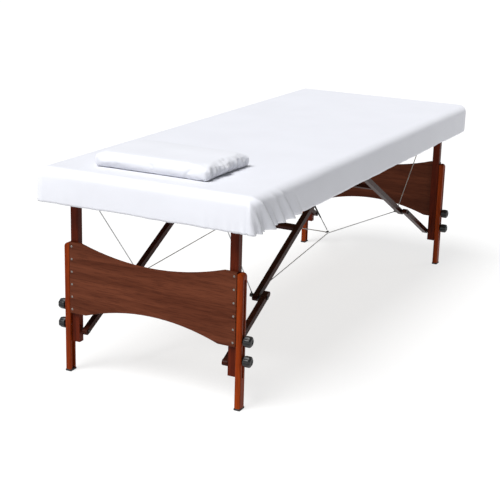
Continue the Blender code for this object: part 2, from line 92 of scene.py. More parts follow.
# Fasteners, by their distance out along Y, and their sizes.
KNOB_BOLT_INNER = 0.2712
KNOB_BOLT_RADIUS = 0.0038
SCREWS_A_LEG = 6
SCREW_LINE = 0.2825
SCREW_LOWEST = 0.013
SCREW_HIGHEST = 0.0135
SCREW_RADIUS = 0.0034
SCREW_HEIGHT = 0.0011
NUT_RADIUS = 0.0062
BRACE_OUTSIDE = 0.2587
LEG_PIN = (0.8600, 0.1373)
BOOT_HEIGHT = 0.0065
BOOT_WALL = 0.0007

# Cables.
CABLE_RADIUS = 0.0017
CABLE_SPACING = 0.006
CABLE_Y_AT_KNEE = 0.2085
CABLE_FROM_BOLT = 0.0055
CABLE_FROM_ROD = 0.0072
LEG_CABLE_Y = 0.228
LEG_FERRULE_END = 0.021
SIDE_FERRULE_END = 0.030
SIDE_CABLE_UNDER = 0.0029
YOKE_TOP_Y = 0.040
YOKE_CORNER_Y = 0.185
YOKE_TURN = 0.006
YOKE_RISE = 0.003
FERRULE = [0.0016, 0.0026, 0.0026, 0.0019, 0.0026, 0.0026, 0.0016]
YOKE_HOOK = [0.0018, 0.0029, 0.0029, 0.0018]
HANGER_SLEEVE = [0.0022, 0.0028, 0.0031, 0.0034, 0.0037, 0.0040, 0.0043, 0.0046, 0.0048]

# Stage: the floor glows a little, so that it stays white round the table's soft shadow.
FLOOR_SHADE = 0.24
FLOOR_GLOW = 0.75
SKY_STRENGTH = 0.12
SUN_TOWARDS = (-0.78, 0.28, 1.4)
SUN_SOFTNESS = 36
SUN_POWER = 4.4
FILL_PLACE = (2.2, -1.3, 0.7)
FILL_TARGET = (0.9, -0.37, 0.6)
FILL_SIZE = 0.8
FILL_POWER = 6


# ---------------------------------------------------------------- mesh helpers

def link(obj):
    bpy.context.scene.collection.objects.link(obj)
    return obj


def new_piece(name, bm, material, smooth=True, sharp=None):
    """A piece from a bmesh. sharp is the angle, in degrees, above which an edge stays sharp."""
    mesh = bpy.data.meshes.new(name)
    bm.to_mesh(mesh)
    bm.free()
    mesh.materials.append(material)
    if smooth:
        mesh.shade_smooth()
    if sharp is not None:
        mesh.set_sharp_from_angle(angle=math.radians(sharp))
    return link(bpy.data.objects.new(name, mesh))


def apply_modifiers(obj):
    graph = bpy.context.evaluated_depsgraph_get()
    mesh = bpy.data.meshes.new_from_object(obj.evaluated_get(graph))
    obj.modifiers.clear()
    obj.data = mesh


def turned(bm, profile, steps, place):
    """Adds a profile of (radius, height) points turned about Z, then moved by the matrix place."""
    rings = []
    for radius, height in profile:
        if radius < 1e-6:
            rings.append([bm.verts.new(place @ Vector((0, 0, height)))])
            continue
        angles = [2 * math.pi * i / steps for i in range(steps)]
        rings.append([bm.verts.new(place @ Vector((radius * math.cos(a), radius * math.sin(a), height)))
                      for a in angles])
    for low, high in zip(rings, rings[1:]):
        for i in range(steps):
            j = (i + 1) % steps
            corners = [low[i % len(low)], low[j % len(low)], high[j % len(high)], high[i % len(high)]]
            unique = list(dict.fromkeys(corners))
            if len(unique) > 2:
                bm.faces.new(unique)


def facing_y(x, z, side):
    """Turns +Z to point outwards along Y, at that X and Z."""
    return Matrix.Translation((x, 0, z)) @ Matrix.Rotation(math.radians(-90 * side), 4, "X")


def tube(bm, points, radii, sides=10):
    """A closed tube through the points, with a radius at each."""
    rings = []
    across = Vector((0, 0, 1))
    for i, point in enumerate(points):
        before, after = points[max(i - 1, 0)], points[min(i + 1, len(points) - 1)]
        along = (after - before).normalized()
        first = across.cross(along)
        if first.length < 1e-4:
            first = Vector((1, 0, 0)).cross(along)
        first.normalize()
        second = along.cross(first)
        rings.append([bm.verts.new(point + radii[i] * (math.cos(a) * first + math.sin(a) * second))
                      for a in (2 * math.pi * k / sides for k in range(sides))])
    for low, high in zip(rings, rings[1:]):
        for k in range(sides):
            bm.faces.new([low[k], low[(k + 1) % sides], high[(k + 1) % sides], high[k]])
    bm.faces.new(reversed(rings[0]))
    bm.faces.new(rings[-1])


def even_points(route, spacing):
    """Points at about that spacing along straight runs between the route's points."""
    points = []
    for start, finish in zip(route, route[1:]):
        count = max(1, round((finish - start).length / spacing))
        points += [start.lerp(finish, i / count) for i in range(count)]
    return points + [route[-1]]


# ---------------------------------------------------------------- materials

class Shader:
    """A material with a Principled shader, and short calls for the nodes that feed it."""

    def __init__(self, name, roughness, metallic=0.0):
        self.material = bpy.data.materials.new(name)
        self.material.use_nodes = True
        self.nodes = self.material.node_tree.nodes
        self.links = self.material.node_tree.links
        self.bsdf = self.nodes["Principled BSDF"]
        self.bsdf.inputs["Roughness"].default_value = roughness
        self.bsdf.inputs["Metallic"].default_value = metallic

    def add(self, kind, **values):
        node = self.nodes.new(kind)
        for key, value in values.items():
            if key in node.inputs:
                node.inputs[key].default_value = value
            else:
                setattr(node, key, value)
        return node

    def place(self, scale=(1, 1, 1), turn=(0, 0, 0)):
        """The piece's own coordinates, turned and then scaled."""
        coordinates = self.add("ShaderNodeTexCoord")
        turned_first = self.add("ShaderNodeMapping", Rotation=turn)
        scaled = self.add("ShaderNodeMapping", Scale=scale)
        self.links.new(coordinates.outputs["Object"], turned_first.inputs["Vector"])
        self.links.new(turned_first.outputs["Vector"], scaled.inputs["Vector"])
        return scaled.outputs["Vector"]

    def noise(self, vector, scale, detail=4.0, distortion=0.0):
        node = self.add("ShaderNodeTexNoise", Scale=scale, Detail=detail, Distortion=distortion)
        self.links.new(vector, node.inputs["Vector"])
        return node.outputs["Fac"]

    def waves(self, vector, scale, distortion, direction="X"):
        node = self.add("ShaderNodeTexWave", Scale=scale, Distortion=distortion, bands_direction=direction)
        self.links.new(vector, node.inputs["Vector"])
        return node.outputs["Fac"]

    def ramp(self, value, stops):
        node = self.add("ShaderNodeValToRGB")
        elements = node.color_ramp.elements
        while len(elements) < len(stops):
            elements.new(0.5)
        for element, (position, colour) in zip(elements, stops):
            element.position = position
            element.color = (*colour, 1.0)
        self.links.new(value, node.inputs["Fac"])
        return node.outputs["Color"]

    def mix(self, factor, first, second, blend="MIX"):
        node = self.add("ShaderNodeMixRGB", blend_type=blend)
        for socket, value in zip(("Fac", "Color1", "Color2"), (factor, first, second)):
            if isinstance(value, (int, float)):
                node.inputs[socket].default_value = value
            elif isinstance(value, tuple):
                node.inputs[socket].default_value = (*value, 1.0)
            else:
                self.links.new(value, node.inputs[socket])
        return node.outputs["Color"]

    def colour(self, output):
        self.links.new(output, self.bsdf.inputs["Base Color"])

    def roughness(self, value, low, high):
        node = self.add("ShaderNodeMapRange")
        node.inputs["To Min"].default_value = low
        node.inputs["To Max"].default_value = high
        self.links.new(value, node.inputs["Value"])
        self.links.new(node.outputs["Result"], self.bsdf.inputs["Roughness"])

    def bump(self, height, strength, distance):
        node = self.add("ShaderNodeBump", Strength=strength, Distance=distance)
        self.links.new(height, node.inputs["Height"])
        self.links.new(node.outputs["Normal"], self.bsdf.inputs["Normal"])


def cotton(name, tint):
    """Plain-weave cotton: fine crossed threads, a soft nap, and faint unevenness."""
    shader = Shader(name, 0.85)
    shader.bsdf.inputs["Sheen Weight"].default_value = 0.25
    shader.bsdf.inputs["Sheen Roughness"].default_value = 0.5
    shader.bsdf.inputs["Specular IOR Level"].default_value = 0.2
    place = shader.place()
    cloud = shader.noise(place, 6.0, 3.0)
    darker = tuple(0.975 * c for c in tint)
    shader.colour(shader.ramp(cloud, [(0.35, darker), (0.65, tint)]))
    threads = shader.mix(0.5, shader.waves(place, 420.0, 0.6, "X"), shader.waves(place, 420.0, 0.6, "Y"))
    threads = shader.mix(0.35, threads, shader.waves(place, 420.0, 0.6, "Z"))
    shader.bump(shader.mix(0.3, threads, shader.noise(place, 160.0, 5.0)), 0.12, 0.0004)
    return shader.material


def mahogany(name, dark, light, along, gloss=0.36, slope=0.0):
    """Stained hardwood under satin lacquer, with its grain along one axis, or tilted by slope about Y."""
    shader = Shader(name, gloss)
    shader.bsdf.inputs["Specular IOR Level"].default_value = 0.06
    stretch = {"X": (1.5, 22, 22), "Y": (22, 1.5, 22), "Z": (22, 22, 1.5)}[along]
    place = shader.place(stretch, (0, slope, 0))
    figure = shader.noise(place, 1.6, 5.0, 0.8)
    pores = shader.noise(shader.place(tuple(9 * s for s in stretch), (0, slope, 0)), 1.4, 3.0)
    middle = tuple((a + b) / 2 for a, b in zip(dark, light))
    grain = shader.ramp(figure, [(0.25, dark), (0.5, middle), (0.78, light)])
    fleck = shader.ramp(pores, [(0.38, (0.55, 0.5, 0.48)), (0.52, (1.0, 1.0, 1.0))])
    shader.colour(shader.mix(0.55, grain, fleck, "MULTIPLY"))
    shader.roughness(figure, gloss * 0.85, gloss * 1.3)
    shader.bump(pores, 0.12, 0.0003)
    return shader.material


def ply():
    shader = Shader("birch_plywood", 0.6)
    figure = shader.noise(shader.place((1.2, 14, 14)), 2.0, 5.0, 1.2)
    shader.colour(shader.ramp(figure, [(0.3, (0.42, 0.29, 0.17)), (0.7, (0.60, 0.44, 0.28))]))
    shader.bump(figure, 0.1, 0.0005)
    return shader.material


def moulded_plastic(name, colour, roughness):
    shader = Shader(name, roughness)
    speckle = shader.noise(shader.place(), 900.0, 2.0)
    shader.colour(shader.ramp(speckle, [(0.3, tuple(0.8 * c for c in colour)), (0.7, colour)]))
    shader.bump(speckle, 0.15, 0.0002)
    return shader.material


def plated_metal(name, colour, roughness, scratch=240.0):
    shader = Shader(name, roughness, 1.0)
    marks = shader.noise(shader.place((1, 1, 12)), scratch, 3.0)
    shader.colour(shader.ramp(marks, [(0.3, tuple(0.82 * c for c in colour)), (0.7, colour)]))
    shader.roughness(marks, roughness * 0.8, roughness * 1.3)
    return shader.material


def vinyl():
    """The pad's smooth upholstery, with a fine grain."""
    shader = Shader("cream_vinyl", 0.45)
    cells = shader.add("ShaderNodeTexVoronoi", Scale=700.0)
    shader.links.new(shader.place(), cells.inputs["Vector"])
    cloud = shader.noise(shader.place(), 5.0, 3.0)
    shader.colour(shader.ramp(cloud, [(0.35, (0.60, 0.56, 0.48)), (0.65, (0.66, 0.62, 0.54))]))
    shader.bump(cells.outputs["Distance"], 0.25, 0.0003)
    return shader.material


# SHADE_DARK and SHADE_LIGHT are mahogany darkened to near-black with painted shade, for the rails, cross
# bars and struts that sit in shade under the table.
SHADE_DARK, SHADE_LIGHT = (0.016, 0.0036, 0.0022), (0.050, 0.0110, 0.0055)
RED_DARK, RED_LIGHT = (0.052, 0.0060, 0.0016), (0.125, 0.0170, 0.0050)
AMBER_DARK, AMBER_LIGHT = (0.120, 0.0120, 0.0010), (0.300, 0.0440, 0.0030)
PANEL_DARK, PANEL_LIGHT = (0.066, 0.0150, 0.0060), (0.152, 0.0430, 0.0200)
SHEET_WHITE = cotton("white_cotton", (0.72, 0.73, 0.78))
PILLOW_WHITE = cotton("pillow_cotton", (0.73, 0.74, 0.785))
WOOD_UPRIGHT = mahogany("mahogany_upright", RED_DARK, RED_LIGHT, "Z")
WOOD_EXTENSION = mahogany("mahogany_extension", AMBER_DARK, AMBER_LIGHT, "Z", 0.32)
WOOD_PANEL = mahogany("mahogany_panel", PANEL_DARK, PANEL_LIGHT, "Y")
# Rails and cross bars: near-black mahogany, with the shade under the table painted into its colour.
RAIL_WOOD_PAINTED_SHADE = mahogany("mahogany_rail_painted_shade", SHADE_DARK, SHADE_LIGHT, "X")
CROSS_WOOD_PAINTED_SHADE = mahogany("mahogany_cross_painted_shade", SHADE_DARK, SHADE_LIGHT, "Y")
PLY = ply()
VINYL = vinyl()
BLACK_PLASTIC = moulded_plastic("black_nylon", (0.006, 0.006, 0.0065), 0.42)
RUBBER = moulded_plastic("black_rubber", (0.018, 0.017, 0.016), 0.8)
BLACK_STEEL = plated_metal("black_oxide_steel", (0.06, 0.06, 0.06), 0.4)
NICKEL = plated_metal("nickel_plate", (0.30, 0.28, 0.26), 0.45)
ZINC = plated_metal("zinc_plate", (0.55, 0.56, 0.57), 0.35)
BRASS = plated_metal("brass_plate", (0.62, 0.45, 0.20), 0.32)
WIRE = plated_metal("galvanised_wire", (0.46, 0.47, 0.48), 0.42, 900.0)


def strut_slope(node, end):
    """The angle about Y that lays a strut's own line along X."""
    low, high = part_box(node)
    return end * math.atan2(high[2] - low[2], high[0] - low[0])


def paint(node, material):
    obj = NODES[node]
    for slot in obj.material_slots:
        slot.material = material
    if not obj.material_slots:
        obj.data.materials.append(material)


def paint_frame():
    """Better finishes for the CAD nodes that stay in view."""
    for end, sign in ENDS.items():
        slope = strut_slope(f"upper_brace_{end}_left", sign)
        # The struts' wood takes the near-black SHADE colours, which are painted shade.
        wood = mahogany(f"mahogany_strut_painted_shade_{end}", SHADE_DARK, SHADE_LIGHT, "X", 0.24, slope)
        paint(f"end_rail_{end}", CROSS_WOOD_PAINTED_SHADE)
        paint(f"centre_rail_{end}", CROSS_WOOD_PAINTED_SHADE)
        paint(f"cross_bar_{end}", CROSS_WOOD_PAINTED_SHADE)
        paint(f"deck_{end}", PLY)
        paint(f"end_panel_{end}", WOOD_PANEL)
        paint(f"hinge_leaf_{end}", BRASS)
        paint(f"leg_rod_{end}", ZINC)
        paint(f"brace_rod_{end}", ZINC)
        for side in SIDES:
            paint(f"side_rail_{end}_{side}", RAIL_WOOD_PAINTED_SHADE)
            paint(f"leg_{end}_{side}", WOOD_UPRIGHT)
            paint(f"extension_{end}_{side}", WOOD_EXTENSION)
            paint(f"upper_brace_{end}_{side}", wood)
            paint(f"lower_brace_{end}_{side}", wood)
            paint(f"knee_bolt_{end}_{side}", BLACK_STEEL)


# ---------------------------------------------------------------- fitted sheet

def rounded_outline(half_x, half_y, radius, spacing):
    """(x, y, normal x, normal y) round a rounded rectangle, evenly spaced on each stretch."""
    points = []
    corner_steps = max(6, round(math.pi / 2 * radius / spacing) + 3)
    for quarter in range(4):
        angle = quarter * math.pi / 2
        sx, sy = ((1, 1), (-1, 1), (-1, -1), (1, -1))[quarter]
        cx, cy = sx * (half_x - radius), sy * (half_y - radius)
        for i in range(corner_steps):
            a = angle + math.pi / 2 * i / corner_steps
            points.append((cx + radius * math.cos(a), cy + radius * math.sin(a), math.cos(a), math.sin(a)))
        length = 2 * (half_x - radius) if quarter % 2 == 0 else 2 * (half_y - radius)
        steps = round(length / spacing)
        nx, ny = math.cos(angle + math.pi / 2), math.sin(angle + math.pi / 2)
        tx, ty = -ny, nx
        start_x, start_y = cx + radius * nx, cy + radius * ny
        points += [(start_x + tx * length * i / steps, start_y + ty * length * i / steps, nx, ny)
                   for i in range(steps)]
    return points


def ridge(offset, width):
    """A pleat's section: a raised fold with a crease beside it."""
    u = offset / width
    return math.exp(-u * u) - 0.75 * math.exp(-((u - 1.25) / 0.7) ** 2)


# Pleats by the nearest corner, on the long side: where each meets the hem (X), how far it has
# moved towards the corner at the top edge, its width, its depth, and how high it reaches (0 to 1).
CORNER_PLEATS = [
    (-0.930, 0.020, 0.0085, 0.0140, 0.90),
    (-0.906, 0.045, 0.0080, 0.0150, 1.00),
    (-0.884, 0.060, 0.0070, 0.0070, 0.65),
    (-0.838, 0.090, 0.0125, 0.0210, 1.10),
    (-0.800, 0.090, 0.0085, 0.0060, 0.65),
    (-0.757, 0.090, 0.0105, 0.0120, 1.00),
    (-0.697, 0.105, 0.0115, 0.0150, 1.05),
    (-0.640, 0.095, 0.0120, 0.0060, 0.70),
]
# Small puckers on the end face near the same corner (Y), slanting the other way.
END_PUCKERS = [
    (-0.214, -0.020, 0.007, 0.0022, 0.45),
    (-0.243, -0.016, 0.006, 0.0016, 0.35),
    (-0.285, -0.016, 0.007, 0.0022, 0.40),
    (-0.310, -0.012, 0.006, 0.0020, 0.35),
    (-0.338, -0.010, 0.007, 0.0030, 0.45),
]


def pleat_depth(pleats, place, height, direction):
    total = 0.0
    for hem_place, drift, width, depth, reach in pleats:
        fade = max(0.0, 1 - height / reach)
        if fade > 0:
            offset = direction * (place - (hem_place - drift * height))
            total += depth * fade ** 0.8 * ridge(offset, width * (0.65 + 0.6 * (1 - height)))
    return total


def gathers(x, y, height, half_x, half_y):
    """The gathers that elastic draws at the other corners: close, shallow, and low on the side."""
    from_corner = max(half_x - abs(x), half_y - abs(y))
    window = math.exp(-(from_corner / 0.11) ** 2)
    wave = noise.noise(Vector((x * 46, y * 46, 3.1))) + 0.6 * noise.noise(Vector((x * 90, y * 90, 9.7)))
    return 0.0045 * window * wave * (1 - height) ** 2


def sheet_push(x, y, nx, ny, height, half_x, half_y):
    """How far the hanging side stands out from the pad at that height, 0 at the hem and 1 at the edge."""
    low = 1 - height
    push = 0.0022 * low * noise.noise(Vector((x * 5.5, y * 5.5, height * 0.8)))
    push += 0.0012 * low * noise.noise(Vector((x * 17 + height * 2, y * 17, 4.0)))
    push += 0.0016 * math.sin(math.pi * height)
    if x < 0 < y:
        from_corner = max(half_x - abs(x), half_y - abs(y))
        push += LOOSE_CORNER * math.exp(-(from_corner / 0.10) ** 2) * (1 - height ** 2)
    if x > 0 or y > 0:
        return push + gathers(x, y, height, half_x, half_y)
    if ny < -0.35:
        push += pleat_depth(CORNER_PLEATS, x, height, 1)
    if nx < -0.35:
        push += pleat_depth(END_PUCKERS, y, height, -1)
    # A crease stops just short of the pad, and may go deeper below it.
    return max(push, -0.0015 - 0.009 * max(0.0, 1 - 2.2 * height))


def hem_drop(x, y):
    """The hem isn't level: it rises and falls a little, in long and short waves."""
    long_wave = noise.noise(Vector((x * 7, y * 7, 20.0)))
    short_wave = noise.noise(Vector((x * 26, y * 26, 7.0)))
    return 0.0022 * long_wave + 0.0014 * short_wave


class SheetShape:
    """The fitted sheet's outer surface, from its turned-in hem to the middle of the top."""

    def __init__(self, low, high):
        self.half_x, self.half_y = float(high[0]), float(high[1])
        self.hem, self.top = float(low[2]), float(high[2]) - SHEET_CLEARANCE
        self.straight = self.top - SHEET_EDGE_RADIUS - self.hem
        self.reach = self.straight + SHEET_EDGE_RADIUS * math.pi / 2

    def push(self, x, y, nx, ny, height):
        return sheet_push(x, y, nx, ny, height, self.half_x, self.half_y)

    def side(self, x, y, nx, ny, share):
        """A point on the hanging side. A share below 0 is the hem, turned in."""
        up = max(share, 0)
        push = self.push(x, y, nx, ny, up * self.straight / self.reach)
        z = self.hem + up * self.straight + hem_drop(x, y) * (1 - up) ** 2
        if share < 0:
            push -= SHEET_TUCK
            z += SHEET_TUCK / 8
        return Vector((x + nx * push, y + ny * push, z))

    def edge(self, x, y, nx, ny, share):
        """A point on the rounded edge between the side and the top."""
        radius, angle = SHEET_EDGE_RADIUS, share * math.pi / 2
        height = (self.straight + radius * angle) / self.reach
        push = self.push(x, y, nx, ny, height) * math.cos(angle) - radius * (1 - math.cos(angle))
        return Vector((x + nx * push, y + ny * push, self.top - radius + radius * math.sin(angle)))

    def over(self, x, y, nx, ny, share):
        """A point on the top, on its way in from the edge to the sheet's long middle line."""
        start = Vector((x - nx * SHEET_EDGE_RADIUS, y - ny * SHEET_EDGE_RADIUS, self.top))
        spine = self.half_x - self.half_y
        point = start.lerp(Vector((min(max(x, -spine), spine), 0, self.top)), share)
        dip = noise.noise(Vector((point.x * 3.2, point.y * 3.2, 1.0)))
        point.z -= min(1.0, 6 * share) * 0.0006 * (1 + dip)
        return point

    def rings(self):
        """Rings of points from the hem up the side, over the edge and in to the middle."""
        outline = rounded_outline(self.half_x, self.half_y, SHEET_CORNER_RADIUS, SHEET_SPACING)
        side_rows = round(self.straight / SHEET_SPACING)
        rows = [(self.side, -1.0), (self.side, 0.0)]
        rows += [(self.side, (i + 1) / side_rows) for i in range(side_rows)]
        rows += [(self.edge, (i + 1) / SHEET_EDGE_ROWS) for i in range(SHEET_EDGE_ROWS)]
        rows += [(self.over, ((i + 1) / SHEET_TOP_ROWS) ** 1.5) for i in range(SHEET_TOP_ROWS)]
        return [[place(*spot, share) for spot in outline] for place, share in rows]


def fitted_sheet():
    """One cloth over both halves of the table."""
    shape = SheetShape(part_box("sheet_head")[0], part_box("sheet_foot")[1])
    bm = bmesh.new()
    rings = [[bm.verts.new(point) for point in ring] for ring in shape.rings()]
    count = len(rings[0])
    for lower, upper in zip(rings, rings[1:]):
        for i in range(count):
            j = (i + 1) % count
            bm.faces.new([lower[i], lower[j], upper[j], upper[i]])
    bmesh.ops.remove_doubles(bm, verts=bm.verts, dist=0.0006)
    bmesh.ops.recalc_face_normals(bm, faces=bm.faces)
    highest = max(bm.faces, key=lambda f: f.calc_center_median().z)
    if highest.normal.z < 0:
        bmesh.ops.reverse_faces(bm, faces=bm.faces)
    piece = new_piece("fitted_sheet", bm, SHEET_WHITE)
    wall = piece.modifiers.new("wall", "SOLIDIFY")
    wall.thickness = SHEET_WALL
    wall.offset = -1
    apply_modifiers(piece)
    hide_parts("sheet_head", "sheet_foot")
    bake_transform(piece)


def pad_cover(end):
    """The upholstered pad under the sheet, rounded at its outer corners and along its upper edge."""
    name = f"pad_cover_{end}"
    low, high = (Vector(corner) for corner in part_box(f"pad_{end}"))
    corner, edge = 0.031, 0.024
    bm = bmesh.new()
    bmesh.ops.create_cube(bm, size=1.0)
    bmesh.ops.scale(bm, vec=(high - low), verts=bm.verts)
    bmesh.ops.translate(bm, vec=(low + high) / 2, verts=bm.verts)
    outer = ENDS[end]
    upright = [e for e in bm.edges if abs(e.verts[0].co.z - e.verts[1].co.z) > 0.01
               and e.verts[0].co.x * outer > 0.5]
    bmesh.ops.bevel(bm, geom=upright, offset=corner, segments=8, profile=0.5, affect="EDGES")
    rim = [e for e in bm.edges if all(v.co.z > high.z - 1e-5 for v in e.verts)]
    bmesh.ops.bevel(bm, geom=rim, offset=edge, segments=6, profile=0.5, affect="EDGES")
    bmesh.ops.recalc_face_normals(bm, faces=bm.faces)
    piece = new_piece(name, bm, VINYL, sharp=50)
    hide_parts(f"pad_{end}")
    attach(piece, f"frame_{end}")


# ---------------------------------------------------------------- pillow

def swell(piece):
    """Lets the pillow's cover swell under air pressure, so that its faces crown between the seams."""
    remesh = piece.modifiers.new("remesh", "REMESH")
    remesh.mode = "VOXEL"
    remesh.voxel_size = PILLOW_VOXEL
    apply_modifiers(piece)
    before = [v.co.copy() for v in piece.data.vertices]
    cloth = piece.modifiers.new("cloth", "CLOTH")
    cloth.settings.use_pressure = True
    cloth.settings.uniform_pressure_force = 3.0
    cloth.settings.effector_weights.gravity = 0.0
    cloth.settings.quality = 5
    scene = bpy.context.scene
    for number in range(1, PILLOW_FRAMES + 1):
        scene.frame_set(number)
    apply_modifiers(piece)
    scene.frame_set(1)
    for vert, start in zip(piece.data.vertices, before):
        move = vert.co - start
        if move.length > PILLOW_MOST_MOVE:
            vert.co = start + move * (PILLOW_MOST_MOVE / move.length)


def pillow_blank(centre, size):
    """The flat pillow before it swells: crowned, pinched at its corners, and smaller than its space."""
    bm = bmesh.new()
    bmesh.ops.create_cube(bm, size=1.0)
    bmesh.ops.subdivide_edges(bm, edges=bm.edges, cuts=11, use_grid_fill=True)
    for vert in bm.verts:
        u, v, w = (2 * c for c in vert.co)
        pinch = 1 - 0.16 * abs(u) ** 5 * abs(v) ** 5
        waist = 0.012 * (1 - abs(u) ** 2) if abs(v) > 0.99 else 0.0
        crown = (1 - 0.10 * abs(u) ** 6) * (1 - 0.08 * abs(v) ** 8)
        lift = 0.5 * w * crown if w > 0 else 0.5 * w
        vert.co = Vector((u / 2 * (size.x - 0.010) * (1 - waist), v / 2 * (size.y - 0.010),
                          lift * (size.z - 0.006) * pinch))
    bmesh.ops.translate(bm, vec=centre, verts=bm.verts)
    edges = [e for e in bm.edges if e.calc_face_angle(0) > math.radians(50)]
    bmesh.ops.bevel(bm, geom=edges, offset=0.006, segments=3, profile=0.5, affect="EDGES")
    return bm


def pillow():
    low, high = (Vector(corner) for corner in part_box("pillow"))
    size = high - low
    centre = (low + high) / 2
    piece = new_piece("pillow_cover", pillow_blank(centre, size), PILLOW_WHITE)
    swell(piece)
    piece.data.shade_smooth()
    for vert in piece.data.vertices:
        co = vert.co
        u = (co.x - centre.x) / (size.x / 2)
        v = (co.y - centre.y) / (size.y / 2)
        w = (co.z - low.z) / size.z
        # Pleats on the right-hand side face, and fine puckers along the front seam.
        face = max(0.0, min(1.0, (-v - 0.90) / 0.08))
        ripple = noise.noise(Vector((co.x * 75 + 0.8 * w, 2.0, w * 0.6)))
        ripple += 0.6 * noise.noise(Vector((co.x * 110, 6.0, w)))
        co.y += face * 0.0085 * ripple * (1 - abs(2 * w - 1) ** 4)
        front = max(0.0, min(1.0, (abs(u) - 0.93) / 0.06))
        co.x += math.copysign(front, u) * 0.0010 * noise.noise(Vector((co.y * 42, 3.0, w * 2)))
        co.z += 0.0010 * noise.noise(Vector((co.x * 11, co.y * 11, 5.0))) * w
        co.z = low.z + PILLOW_SETTLE * max(co.z - low.z - PILLOW_SINK, 0.0)
    fine = piece.modifiers.new("fine", "SUBSURF")
    fine.levels = 1
    fine.render_levels = 1
    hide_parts("pillow")
    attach(piece, "pillow")


# ---------------------------------------------------------------- knobs and fasteners

def knob(end, side, level):
    """A lobed nylon knob with a recessed cap, on its zinc bolt."""
    node = f"knob_{end}_{side}_{level}"
    low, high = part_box(node)
    x, z = (low[0] + high[0]) / 2, (low[2] + high[2]) / 2
    radius = (high[0] - low[0]) / 2
    rim, face, base = radius * 0.99, KNOB_FACE, KNOB_BASE
    profile = [(0, base), (0.0085, base), (0.0092, base + 0.0006), (0.0095, base + 0.0028),
               (0.0125, base + 0.0031), (rim - 0.0014, base + 0.0037), (rim - 0.0003, base + 0.0049),
               (rim, base + 0.0072), (rim, face - 0.0078), (rim - 0.0006, face - 0.0048),
               (rim - 0.0024, face - 0.0024), (rim - 0.0052, face - 0.0009), (0.0088, face - 0.0002),
               (0.0074, face), (0.0066, face - 0.0003), (0.0062, face - 0.0014), (0.0030, face - 0.0016),
               (0, face - 0.0016)]
    bm = bmesh.new()
    turned(bm, profile, KNOB_STEPS, Matrix.Identity(4))
    for vert in bm.verts:
        flat = vert.co.xy.length
        if flat > 0.010:
            lobe = math.cos(KNOB_LOBES * math.atan2(vert.co.y, vert.co.x))
            share = (flat - 0.010) / (rim - 0.010)
            swing = 1 + share * (0.045 * lobe - 0.055 * max(0.0, -lobe) ** 3)
            vert.co.x *= swing
            vert.co.y *= swing
    place = facing_y(x, z, SIDES[side])
    bmesh.ops.transform(bm, matrix=place, verts=bm.verts)
    bmesh.ops.recalc_face_normals(bm, faces=bm.faces)
    head = new_piece(f"knob_head_{end}_{side}_{level}", bm, BLACK_PLASTIC, sharp=50)
    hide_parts(node)
    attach(head, f"knob_{end}_{side}_{level}")
    bm = bmesh.new()
    shank, start, finish = KNOB_BOLT_RADIUS, KNOB_BOLT_INNER, base - 0.0001
    bolt = [(0, start), (shank - 0.0006, start), (shank, start + 0.0006), (shank, finish), (0, finish)]
    turned(bm, bolt, 20, place)
    bmesh.ops.recalc_face_normals(bm, faces=bm.faces)
    shaft = new_piece(f"knob_bolt_{end}_{side}_{level}", bm, ZINC, sharp=40)
    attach(shaft, f"knob_{end}_{side}_{level}")


def dome_screw(bm, place):
    """A domed screw head with a cross recess pressed into it."""
    radius, height, steps = SCREW_RADIUS, SCREW_HEIGHT, 16
    profile = [(radius, 0), (radius, height * 0.25), (radius * 0.86, height * 0.68),
               (radius * 0.62, height * 0.92), (radius * 0.36, height), (0, height)]
    first = len(bm.verts)
    turned(bm, [(0, 0), *profile], steps, Matrix.Identity(4))
    bm.verts.ensure_lookup_table()
    for vert in bm.verts[first:]:
        flat = vert.co.xy.length
        if vert.co.z > height * 0.9:
            arm = abs(math.cos(2 * math.atan2(vert.co.y, vert.co.x))) if flat > 1e-6 else 1
            if arm > 0.9:
                vert.co.z -= height * 0.5 * (1 - flat / radius)
        vert.co = place @ vert.co


def panel_screws(end, side):
    """The row of screws that holds the end panel to one leg."""
    low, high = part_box(f"end_panel_{end}")
    sign = ENDS[end]
    x = high[0] if sign > 0 else low[0]
    turn = Matrix.Rotation(math.radians(90 * sign), 4, "Y")
    bottom, top = low[2] + SCREW_LOWEST, high[2] - SCREW_HIGHEST
    bm = bmesh.new()
    for index in range(SCREWS_A_LEG):
        z = bottom + index * (top - bottom) / (SCREWS_A_LEG - 1)
        place = Matrix.Translation((x, SIDES[side] * SCREW_LINE, z)) @ turn
        dome_screw(bm, place @ Matrix.Rotation(index * 1.1, 4, "Z"))
    bmesh.ops.recalc_face_normals(bm, faces=bm.faces)
    piece = new_piece(f"panel_screws_{end}_{side}", bm, NICKEL, sharp=45)
    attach(piece, f"legs_{end}")


def hex_head(radius, height):
    """(profile, sides) of a chamfered nut or bolt head."""
    return [(0, 0), (radius, 0), (radius, height * 0.8), (radius * 0.9, height), (0, height)], 6


def nut(name, x, z, side, start, body):
    """A washer and a nut on a bolt along Y, on the outside of the brace."""
    bm = bmesh.new()
    place = facing_y(x, z, side) @ Matrix.Translation((0, 0, start))
    turned(bm, [(0, 0), (0.0075, 0), (0.0075, 0.0008), (0, 0.0008)], 24, place)
    profile, sides = hex_head(NUT_RADIUS, 0.0026)
    turned(bm, profile, sides, place @ Matrix.Translation((0, 0, 0.0009)))
    bmesh.ops.recalc_face_normals(bm, faces=bm.faces)
    piece = new_piece(name, bm, BLACK_STEEL, sharp=30)
    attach(piece, body)


